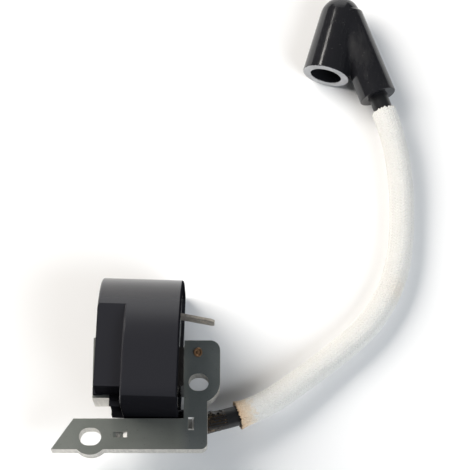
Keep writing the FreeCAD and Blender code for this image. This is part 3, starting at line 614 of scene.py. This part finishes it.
def surface_net(field, low, step):
    """Quad mesh of the zero level of a grid of values; each cell that it crosses gets one point."""
    cells = tuple(n - 1 for n in field.shape)
    total = np.zeros(cells + (3,))
    count = np.zeros(cells)
    corners = [(i, j, k) for i in (0, 1) for j in (0, 1) for k in (0, 1)]

    def at(c):
        return field[c[0]:c[0] + cells[0], c[1]:c[1] + cells[1], c[2]:c[2] + cells[2]]

    for a in corners:
        for axis in range(3):
            if a[axis]:
                continue
            b = tuple(1 if i == axis else a[i] for i in range(3))
            fa, fb = at(a), at(b)
            cross = (fa < 0) != (fb < 0)
            t = np.where(cross, fa / np.where(cross, fa - fb, 1.0), 0.0)
            for i in range(3):
                total[..., i] += np.where(cross, a[i] + (t if i == axis else 0.0), 0.0)
            count += cross
    active = count > 0
    index = np.full(cells, -1)
    index[active] = np.arange(active.sum())
    places = np.argwhere(active) + total[active] / count[active][:, None]
    quads = []
    for axis in range(3):
        one, two = [i for i in range(3) if i != axis]
        low_side = [slice(1, -1)] * 3
        high_side = [slice(1, -1)] * 3
        low_side[axis] = slice(0, -1)
        high_side[axis] = slice(1, None)
        fa, fb = field[tuple(low_side)], field[tuple(high_side)]
        spots = np.argwhere((fa < 0) != (fb < 0))
        outward = fa[tuple(spots.T)] < 0
        spots[:, one] += 1
        spots[:, two] += 1
        ring = []
        for d1, d2 in ((-1, -1), (0, -1), (0, 0), (-1, 0)):
            cell = spots.copy()
            cell[:, one] += d1
            cell[:, two] += d2
            ring.append(index[tuple(cell.T)])
        ring = np.stack(ring, 1)
        flip = outward if axis != 1 else ~outward
        ring[~flip] = ring[~flip][:, ::-1]
        quads.append(ring)
    return places * step + low, np.concatenate(quads)


def make_boot():
    axes = [np.arange(low, high, BOOT_GRID) for low, high in zip(BOOT_LOW, BOOT_HIGH)]
    grid = np.stack(np.meshgrid(*axes, indexing="ij"), -1)
    places, quads = surface_net(boot_field(grid), np.array(BOOT_LOW), BOOT_GRID)

    def slope(points):
        h = 0.02
        shifts = np.eye(3) * h
        return np.stack([boot_field(points + d) - boot_field(points - d) for d in shifts],
                        -1) / (2 * h)

    for _ in range(3):
        lean = slope(places)
        size = np.maximum(np.sum(lean * lean, -1), 0.25)
        places = places - (boot_field(places) / size)[:, None] * lean
    normals = slope(places)
    normals /= np.maximum(np.linalg.norm(normals, axis=1), 1e-6)[:, None]
    mesh = mesh_from("boot_rubber", places * MM, quads.tolist())
    mesh.normals_split_custom_set_from_vertices([tuple(n) for n in normals])
    rubber = gloss_black("boot_rubber", (0.012, 0.012, 0.014), rough_low=0.12, rough_high=0.24,
                         dust=0.30, grain=0.14, waviness=0.10)
    rim = plain_plastic("boot_rim", (0.40, 0.40, 0.405), (0.56, 0.56, 0.57), 0.42)
    # painted shade: the socket's end face gets a darker, nearly unreflecting copy of the rubber
    end = gloss_black("boot_end_shade", (0.006, 0.006, 0.0065), rough_low=0.42, rough_high=0.55,
                      dust=0.10, grain=0.12, waviness=0.10, specular=0.08)
    for material in (rubber, rim, end):
        mesh.materials.append(material)
    centres = places[quads].mean(1)
    r, t = about(centres, PLUG_MOUTH, PLUG_IN)
    on_rim = (t < 0.22) & (t > -0.6) & (r > BORE_R + 0.05) & (r < MOUTH_R - 0.1)
    _, t2 = about(centres, BOOT_START, BOOT_UP)
    # the socket's end face, painted darker as shade
    on_shaded_end = (t2 < 0.18) & (t > 0.5)
    mesh.polygons.foreach_set("material_index", np.where(on_rim, 1, np.where(on_shaded_end, 2, 0)))
    mesh.update()
    boot = new_object("boot_rubber", mesh)
    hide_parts("plug_boot")
    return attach(boot, "boot")


# ---------------------------------------------------------------- laminated stacks
def arc_points(x, y, radius, start, stop, steps):
    """Points on a circle from one angle to another, in degrees."""
    return [(x + radius * math.cos(math.radians(a)), y + radius * math.sin(math.radians(a)))
            for a in np.linspace(start, stop, steps)]


def slot_points(x, y, long, wide):
    reach = (long - wide) / 2
    return (arc_points(x + reach, y, wide / 2, -90, 90, 13)
            + arc_points(x - reach, y, wide / 2, 90, 270, 13))


# sizes of the sheets, in millimetres of the module's local frame
LEG_SLOT = (13.2, 4.35)
LEG_SLOT_LONG = 7.5
LEG_PAD = 6.2
LEG_WIDE = 10.6
TIP_SLANT = 7.4
FRAME_LONG = 52.8
CORNER_ROUND = 2.2
COLUMN_SLOT = (49.8, 23.16)
COLUMN_SLOT_LONG = 6.9
COLUMN_PAD = 7.3
COLUMN_LEFT = 44.8
COLUMN_RIGHT = 57.1
COLUMN_TOP = 37.9
COLUMN_ROUND = 3.4
SLOT_WIDE = 6.0
STAKE_AT = (49.5, 33.6)
STAKE_HOLE = 1.3
TENON_FRONT = 28.0
TENON_RIGHT = 46.0
NOTCH_BACK = 32.0
LIMB_FRONT = 22.9
LIMB_BACK = 31.9
SHOE_LEFT = 13.9
SHOE_RIGHT = 20.0
SHOE_FRONT = 16.9
SHOE_BACK = 37.9
# left, right, front and back of each interlock
DIMPLES = [(20.9, 25.7, 4.1, 6.0), (46.3, 48.3, 6.6, 11.0)]
EDGE_BREAK = 0.035
FRAME_SHEETS = 13
POLE_SHEETS = 26
# sheets on each side of the frame's middle one that are notched, and pole sheets with a tenon
NOTCHED = 4
TENONED = range(9, 17)
STACK = 6.7
POLE_THICK = 13.4
SHEET_GAP = 0.012
SHEET_SLIP = 0.03


def frame_outline(notched):
    """Outline of one sheet of the frame in the local frame, in millimetres."""
    low = math.degrees(math.asin(LEG_SLOT[1] / LEG_PAD))
    side = math.degrees(math.acos((FRAME_LONG - COLUMN_SLOT[0]) / COLUMN_PAD))
    points = [(0.0, 0.0)]
    points += arc_points(*LEG_SLOT, LEG_PAD, 180 + low, 360 - low, 17)
    points += arc_points(FRAME_LONG - CORNER_ROUND, CORNER_ROUND, CORNER_ROUND, -90, 0, 8)
    points += arc_points(*COLUMN_SLOT, COLUMN_PAD, -side, 0, 12)
    points += arc_points(COLUMN_RIGHT - COLUMN_ROUND, COLUMN_TOP - COLUMN_ROUND, COLUMN_ROUND,
                         0, 90, 9)
    points.append((COLUMN_LEFT, COLUMN_TOP))
    if notched:
        points += [(COLUMN_LEFT, NOTCH_BACK), (TENON_RIGHT, NOTCH_BACK),
                   (TENON_RIGHT, TENON_FRONT), (COLUMN_LEFT, TENON_FRONT)]
    return points + [(COLUMN_LEFT, LEG_WIDE), (TIP_SLANT, LEG_WIDE)]


def frame_loops(i):
    """Outline and holes of the frame's sheet i, counted from the bottom."""
    loops = [frame_outline(abs(i - FRAME_SHEETS // 2) <= NOTCHED),
             slot_points(*LEG_SLOT, LEG_SLOT_LONG, SLOT_WIDE),
             slot_points(*COLUMN_SLOT, COLUMN_SLOT_LONG, SLOT_WIDE),
             arc_points(*STAKE_AT, STAKE_HOLE, 0, 350, 36)]
    if i >= FRAME_SHEETS - 2:
        loops += [[(a, c), (b, c), (b, d), (a, d)] for a, b, c, d in DIMPLES]
    return loops


def pole_loops(i):
    """Outline of the pole core's sheet i; the middle ones carry the tenon."""
    tenon = [(COLUMN_LEFT, LIMB_BACK)]
    if i in TENONED:
        tenon = [(COLUMN_LEFT, TENON_FRONT), (TENON_RIGHT, TENON_FRONT), (TENON_RIGHT, LIMB_BACK)]
    return [[(SHOE_LEFT, SHOE_FRONT), (SHOE_RIGHT, SHOE_FRONT), (SHOE_RIGHT, LIMB_FRONT),
             (COLUMN_LEFT, LIMB_FRONT)] + tenon
            + [(SHOE_RIGHT, LIMB_BACK), (SHOE_RIGHT, SHOE_BACK), (SHOE_LEFT, SHOE_BACK)]]


def plate_mesh(outlines, half):
    """Flat plate from closed outlines, the first the rim and the rest holes, with broken edges."""
    data = bpy.data.curves.new("plate", "CURVE")
    data.dimensions = "2D"
    data.fill_mode = "BOTH"
    data.extrude = half - EDGE_BREAK
    data.bevel_depth = EDGE_BREAK
    data.bevel_resolution = 1
    data.offset = -EDGE_BREAK
    for outline in outlines:
        spline = data.splines.new("POLY")
        spline.points.add(len(outline) - 1)
        for point, (x, y) in zip(spline.points, outline):
            point.co = (x, y, 0.0, 1.0)
        spline.use_cyclic_u = True
    probe = new_object("plate_probe", data)
    mesh = bpy.data.meshes.new_from_object(probe)
    places = np.array([v.co for v in mesh.vertices])
    faces = [tuple(p.vertices) for p in mesh.polygons]
    flat = np.array([abs(p.normal.z) > 0.95 for p in mesh.polygons])
    bpy.data.objects.remove(probe)
    return places, faces, flat


def make_stack(name, node, loops_for, sheets, thickness, seed):
    """A pile of sheets, each a hair out of line with the next."""
    rng = np.random.default_rng(seed)
    pitch = thickness / sheets
    all_places, all_faces, all_flat = [], [], []
    base = 0
    for i in range(sheets):
        places, faces, flat = plate_mesh(loops_for(i), pitch / 2 - SHEET_GAP)
        shift = rng.uniform(-SHEET_SLIP, SHEET_SLIP, 2) if 0 < i < sheets - 1 else (0.0, 0.0)
        middle = -thickness / 2 + pitch * (i + 0.5)
        all_places.append(places + np.array((shift[0], shift[1], middle)))
        all_faces += [tuple(v + base for v in f) for f in faces]
        all_flat.append(flat)
        base += len(places)
    places = np.concatenate(all_places) * MM + np.array(FRAME_SHIFT)
    mesh = mesh_from(name, places, all_faces, smooth=False)
    flats = np.concatenate(all_flat)
    mesh.materials.append(bpy.data.materials["lamination_face"])
    mesh.materials.append(bpy.data.materials["sheared_edge"])
    if len(flats) == len(mesh.polygons):
        mesh.polygons.foreach_set("material_index", (~flats).astype(np.int32))
    stack = new_object(name, mesh)
    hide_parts(node)
    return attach(stack, "module")


TAB_SUNK = 0.86
TAB_THICK = 0.42
TAB_SLOPE = 0.62
TAB_STATIONS = 25
# materials of the interlocks, by slot: the third is bright sheared metal with a painted highlight,
# the fourth painted shadow in the sunk tongue
PLATE, SHEARED, BURNISH_AND_HIGHLIGHT, SHADED = range(4)


def make_tabs():
    """The two interlocks: a tongue of the top sheets, sunk in the middle and joined at its ends."""
    vertices, faces, slots = [], [], []
    top = STACK / 2
    for left, right, front, back in DIMPLES:
        along_x = right - left > back - front
        long = (right - left) if along_x else (back - front)
        wide = (back - front) if along_x else (right - left)
        centre = ((left + right) / 2, (front + back) / 2)
        stations = np.linspace(-long / 2, long / 2, TAB_STATIONS)
        base = len(vertices)
        for s in stations:
            edge = (long / 2 - abs(s)) / (0.30 * long)
            sunk = TAB_SUNK * float(np.clip(edge, 0, 1)) ** 0.8
            rise = 0.0 if along_x else min(sunk, TAB_SLOPE)
            section = ((-1, 0.0), (0.30, 0.0), (1, rise), (1, -TAB_THICK), (-1, -TAB_THICK))
            for across, up in section:
                lateral = across * (wide / 2 - 0.04)
                x, y = (s, lateral) if along_x else (lateral, s)
                vertices.append(local(centre[0] + x, centre[1] + y, top - 0.02 - sunk + up))
        faces += [tuple(v + base for v in f) for f in grid_faces(TAB_STATIONS, 5)]
        for i in range(TAB_STATIONS - 1):
            share = (stations[i] + stations[i + 1]) / 2 / long
            for j in range(5):
                # painted shadow on the sunk part of the tongue and painted highlight on its bright
                # ends
                if along_x and share > 0.22:
                    slots.append(BURNISH_AND_HIGHLIGHT)
                elif along_x:
                    slots.append(SHADED if -0.30 < share < 0.02 else PLATE)
                else:
                    slots.append(BURNISH_AND_HIGHLIGHT if j == 1 or abs(share) > 0.38 else SHADED)
        faces += [tuple(base + 4 - j for j in range(5)),
                  tuple(base + 5 * (TAB_STATIONS - 1) + j for j in range(5))]
        slots += [SHEARED, SHEARED]
    mesh = mesh_from("interlock_tabs", vertices, faces, smooth=False)
    mesh.materials.append(bpy.data.materials["lamination_face"])
    mesh.materials.append(bpy.data.materials["sheared_edge"])
    # bright punch faces: sheared metal plus a painted highlight; dark punch faces: painted shadow
    mesh.materials.append(plain_plastic("punch_burnish_and_highlight", (0.52, 0.51, 0.48), (0.84, 0.83, 0.80),
                                        0.55))
    mesh.materials.append(plain_plastic("punch_shade", (0.05, 0.05, 0.045), (0.20, 0.195, 0.18),
                                        0.6))
    mesh.polygons.foreach_set("material_index", slots)
    tabs = new_object("interlock_tabs", mesh)
    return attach(tabs, "module")


def lathe(name, profile, centre, around=56, wobble=0.0, seed=1):
    """Turned shape about a vertical line; the profile gives radius and height from bottom to top.

    Both are in millimetres.
    """
    rng = np.random.default_rng(seed)
    phase = rng.uniform(0, 6.28, 4)
    vertices = []
    angles = np.linspace(0, 2 * math.pi, around, endpoint=False)
    for r, z in profile:
        for a in angles:
            bent = wobble * sum(math.sin((k + 2) * a + phase[k]) / (k + 1) for k in range(4))
            vertices.append(local(centre[0] + (r + bent * min(r, 1)) * math.cos(a),
                                  centre[1] + (r + bent * min(r, 1)) * math.sin(a), z))
    faces = grid_faces(len(profile), around)
    faces.append(tuple(range(around))[::-1])
    faces.append(tuple((len(profile) - 1) * around + j for j in range(around)))
    return mesh_from(name, vertices, faces)


def make_stake():
    """Copper earth stake: upset heads above and below, the upper one ringed by the punch."""
    up = STACK / 2
    profile = [(1.0, -up - 0.89), (1.45, -up - 0.86), (1.6, -up - 0.70), (1.58, -up - 0.44),
               (1.29, -up - 0.40), (1.28, up - 0.05), (1.56, up + 0.01), (1.6, up + 0.18),
               (1.5, up + 0.38), (1.3, up + 0.46), (1.08, up + 0.43), (0.92, up + 0.26),
               (0.8, up + 0.16), (0.62, up + 0.2), (0.4, up + 0.32), (0.18, up + 0.36)]
    mesh = lathe("stake_rivet", profile, STAKE_AT, wobble=0.05, seed=5)
    mesh.materials.append(bpy.data.materials["stake_copper"])
    stake = new_object("stake_rivet", mesh)
    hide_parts("ground_stake")
    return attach(stake, "module")


# ---------------------------------------------------------------- case
# painted shade: the case's front and open-side faces are black with no specular reflection
SHADE_FRONT_SPECULAR = 0.0
FRONT_LEAN = -0.55
OPEN_SIDE_LEAN = 0.35


def make_case():
    """Copy of the CAD case whose front and open-side faces get painted shade, a black that mirrors
    nothing.

    Those faces look nearly black in the view, while glossy ones would mirror the bright floor.
    """
    node = NODES["coil_case"]
    mesh = node.data.copy()
    mesh.name = "case_shell"
    mesh.transform(node.matrix_world)
    mesh.materials.clear()
    mesh.materials.append(bpy.data.materials["case_plastic"])
    mesh.materials.append(gloss_black("case_front", (0.010, 0.010, 0.012), rough_low=0.35,
                                      rough_high=0.5, dust=0.10, grain=0.10, waviness=0.08,
                                      specular=SHADE_FRONT_SPECULAR))
    # painted shade: faces turned to the front or the open side take the black that mirrors nothing
    shaded_faces = [int(p.normal.y < FRONT_LEAN or p.normal.x > OPEN_SIDE_LEAN) for p in mesh.polygons]
    mesh.polygons.foreach_set("material_index", shaded_faces)
    shell = new_object("case_shell", mesh)
    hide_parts("coil_case")
    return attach(shell, "module")


# ---------------------------------------------------------------- light and floor
PANEL_X = 0.03
PANEL_FAR = 1.0
PANEL_WIDE = 0.8
# lower and upper elevation in degrees, and radiance
BACK_PANELS = ((-3, 22, 1.20), (22, 32, 0.99), (32, 40, 0.57), (40, 47, 0.22))
MODULE_AIM = (0.03, 0.05, 0.0)
BOOT_AIM = (0.07, 0.125, 0.01)
FILL_WIDE = 0.6
KEY_WIDE = 0.12
WORLD_COLOUR = (0.93, 0.96, 1.0, 1.0)
WORLD_STRENGTH = 0.11
FLOOR_HALF = 3
FLOOR_UP = -0.0003


def make_area(name, place, target, size, size_y, power, colour):
    data = bpy.data.lights.new(name, "AREA")
    data.shape = "RECTANGLE"
    data.size = size
    data.size_y = size_y
    data.energy = power
    data.color = colour
    light = bpy.data.objects.new(name, data)
    light.location = place
    light.rotation_euler = (Vector(target) - Vector(place)).to_track_quat("-Z", "Y").to_euler()
    bpy.context.scene.collection.objects.link(light)
    return light


def make_stage():
    corners = [(x * FLOOR_HALF, y * FLOOR_HALF, FLOOR_UP)
               for x, y in ((-1, -1), (1, -1), (1, 1), (-1, 1))]
    mesh = mesh_from("floor", corners, [(0, 1, 2, 3)], smooth=False)
    material, tree, shader = new_material("floor_paper")
    tone = ramp(tree, noise(tree, 6.0, 3.0), [(0.3, (0.90, 0.90, 0.90)), (0.7, (0.93, 0.93, 0.93))])
    tree.links.new(tone, shader.inputs["Base Color"])
    shader.inputs["Roughness"].default_value = 0.9
    shader.inputs["Specular IOR Level"].default_value = 0.1
    mesh.materials.append(material)
    new_object("floor", mesh)
    world = bpy.data.worlds.new("world")
    bpy.context.scene.world = world
    world.use_nodes = True
    background = world.node_tree.nodes["Background"]
    background.inputs["Color"].default_value = WORLD_COLOUR
    background.inputs["Strength"].default_value = WORLD_STRENGTH
    for k, (low, high, radiance) in enumerate(BACK_PANELS):
        low_z = PANEL_FAR * math.tan(math.radians(low))
        high_z = PANEL_FAR * math.tan(math.radians(high))
        tall = high_z - low_z
        middle = (PANEL_X, PANEL_FAR, (low_z + high_z) / 2)
        power = math.pi * PANEL_WIDE * tall * radiance
        panel = make_area("back_panel_%d" % k, middle, (PANEL_X, 0.0, middle[2]), PANEL_WIDE,
                          tall, power, (1.0, 1.0, 1.0))
        panel.visible_diffuse = False
    key = make_area("key_strip", (-0.343, 0.60, 0.65), BOOT_AIM, KEY_WIDE, KEY_WIDE, 0.95,
                    (1.0, 0.97, 0.92))
    key.visible_diffuse = False
    warm = make_area("warm_fill", (-0.55, 0.40, 0.62), MODULE_AIM, FILL_WIDE, FILL_WIDE, 11.6,
                     (1.0, 0.965, 0.92))
    cool = make_area("cool_fill", (0.60, -0.45, 0.62), MODULE_AIM, FILL_WIDE, FILL_WIDE, 6.4,
                     (0.90, 0.95, 1.0))
    warm.visible_glossy = False
    cool.visible_glossy = False


# ---------------------------------------------------------------- finishes of the CAD nodes
def finish_nodes():
    case = gloss_black("case_plastic", (0.0022, 0.0026, 0.0045), rough_low=0.10, rough_high=0.20,
                       dust=0.16, grain=0.10, waviness=0.08, specular=0.32)
    resin = gloss_black("potting_resin", (0.016, 0.014, 0.013), rough_low=0.10, rough_high=0.20,
                        dust=0.15, grain=0.10, waviness=0.45)
    tinned = metal_material("tinned_strip", (0.34, 0.29, 0.24), (0.66, 0.61, 0.54), 0.36, 700.0,
                            0.6)
    brass = metal_material("brass_pin", (0.42, 0.28, 0.10), (0.74, 0.56, 0.26), 0.28)
    steel = metal_material("spring_steel", (0.40, 0.40, 0.40), (0.68, 0.68, 0.67), 0.22)
    metal_material("stake_copper", (0.09, 0.05, 0.03), (0.40, 0.25, 0.16), 0.36, 900.0)
    wire = winding_material()
    bobbin = plain_plastic("bobbin_plastic", (0.60, 0.57, 0.50), (0.72, 0.69, 0.62), 0.45)
    board = plain_plastic("board_laminate", (0.05, 0.17, 0.08), (0.09, 0.27, 0.13), 0.30)
    chip = plain_plastic("component_body", (0.02, 0.02, 0.022), (0.05, 0.05, 0.052), 0.42)
    resistor = plain_plastic("resistor_body", (0.50, 0.42, 0.28), (0.66, 0.58, 0.42), 0.35)
    groups = {
        "coil_case": case, "potting_fill": resin, "kill_terminal": tinned, "ground_strip": tinned,
        "ht_terminal": brass, "boot_spring": steel, "contact_pin": steel,
        "charge_winding": wire, "trigger_winding": wire, "primary_winding": wire,
        "secondary_winding": wire, "lead_conductor": wire, "charge_bobbin": bobbin,
        "primary_bobbin": bobbin, "secondary_bobbin": bobbin, "circuit_board": board,
        "storage_capacitor": chip, "thyristor": chip, "rectifier_diodes": chip,
        "resistor": resistor, "lead_root": bpy.data.materials["lead_rubber"],
        "lead_end": bpy.data.materials["lead_rubber"],
    }
    for node, material in groups.items():
        paint(node, material)


bpy.context.scene.view_settings.view_transform = "Standard"
make_camera()
lead = make_lead()
line = Line()
lamination_material()
sheared_material()
sleeve_parts = make_sleeve(line)
resin = make_resin(line)
boot = make_boot()
finish_nodes()
make_stack("frame_sheets", "core_frame", frame_loops, FRAME_SHEETS, STACK, 11)
make_stack("pole_sheets", "pole_core", pole_loops, POLE_SHEETS, POLE_THICK, 12)
make_case()
make_tabs()
make_stake()
make_stage()
